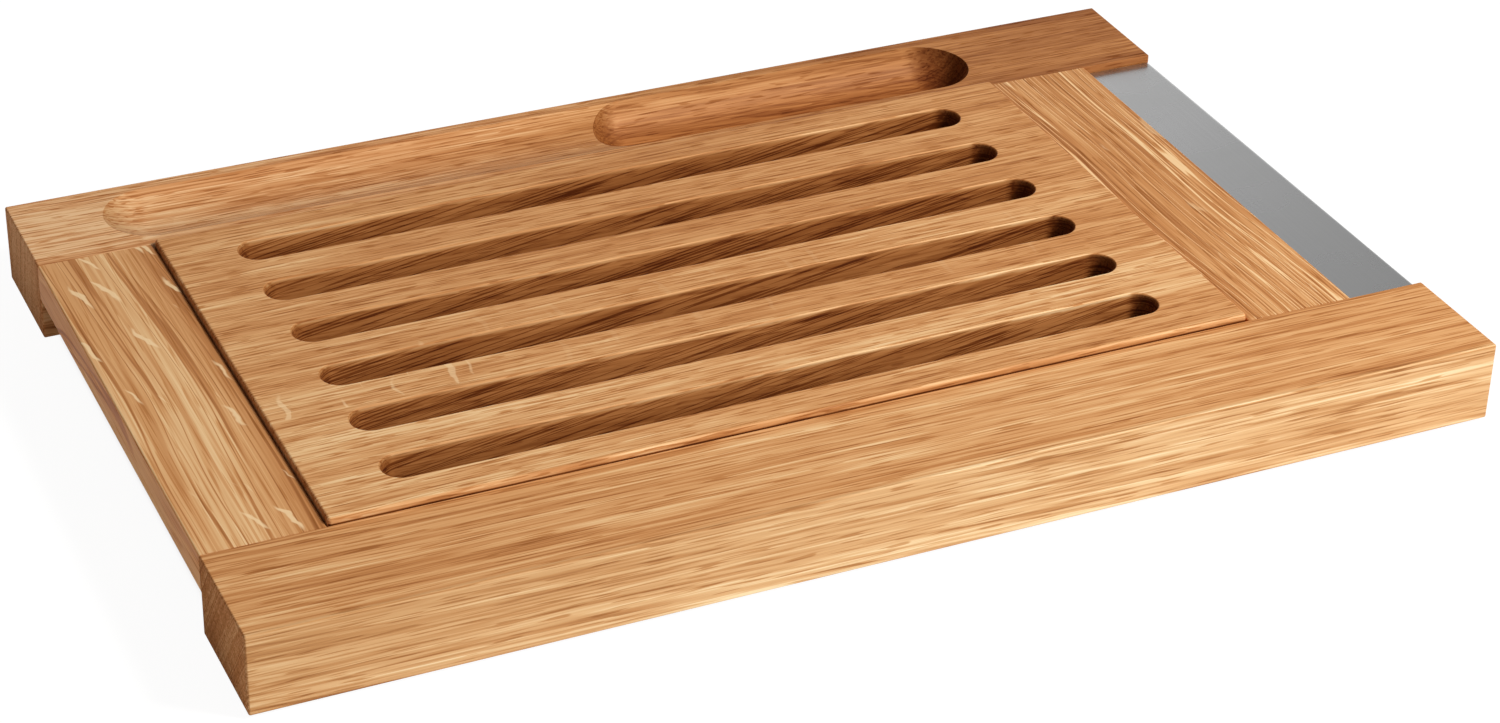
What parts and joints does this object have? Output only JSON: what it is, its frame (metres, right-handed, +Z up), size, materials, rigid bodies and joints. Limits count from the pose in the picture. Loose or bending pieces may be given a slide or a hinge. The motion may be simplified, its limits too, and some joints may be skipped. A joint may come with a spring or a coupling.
{
  "type": "bread board",
  "caption": "Oak bread board: slatted board lying in a frame, steel crumb drawer sliding out below it, knife groove in the rear rail.",
  "frame": {"origin": "on the table, below the middle of the frame", "axes": "+X along the rails to the end where the drawer comes out, +Y to the rear rail with the knife groove, +Z up"},
  "size_m": [0.5, 0.32, 0.0371],
  "materials": {
    "oak_front_rail": "oiled oak, grain along X",
    "oak_rear_rail": "oiled oak, grain along X",
    "oak_left_cross_rail": "oiled oak, grain along Y",
    "oak_right_cross_rail": "oiled oak, grain along Y",
    "oak_slatted_board": "oiled oak, grain along X",
    "oak_runners": "oak, planed",
    "beech_dowels": "beech, plain",
    "tray_steel": "stainless sheet, brushed",
    "grip_steel": "stainless sheet, brushed",
    "screw_steel": "bright zinc",
    "foot_rubber": "matt black"
  },
  "bodies": {
    "frame": {"front_rail": "oak_front_rail", "rear_rail": "oak_rear_rail", "left_cross_rail": "oak_left_cross_rail", "right_cross_rail": "oak_right_cross_rail", "left_dowels": "beech_dowels", "right_dowels": "beech_dowels", "front_runner": "oak_runners", "rear_runner": "oak_runners", "front_runner_screws": "screw_steel", "rear_runner_screws": "screw_steel", "front_left_foot": "foot_rubber", "front_right_foot": "foot_rubber", "rear_left_foot": "foot_rubber", "rear_right_foot": "foot_rubber", "foot_screws": "screw_steel"},
    "drawer": {"crumb_tray": "tray_steel", "drawer_grip": "grip_steel"},
    "board": {"slatted_board": "oak_slatted_board"}
  },
  "joints": [
    {"name": "drawer_slide", "type": "slide", "parent": "frame", "child": "drawer", "axis": [1, 0, 0], "range_m": [0, 0.475]},
    {"name": "board_lift", "type": "slide", "parent": "frame", "child": "board", "axis": [0, 0, 1], "range_m": [0, 0.06]}
  ]
}
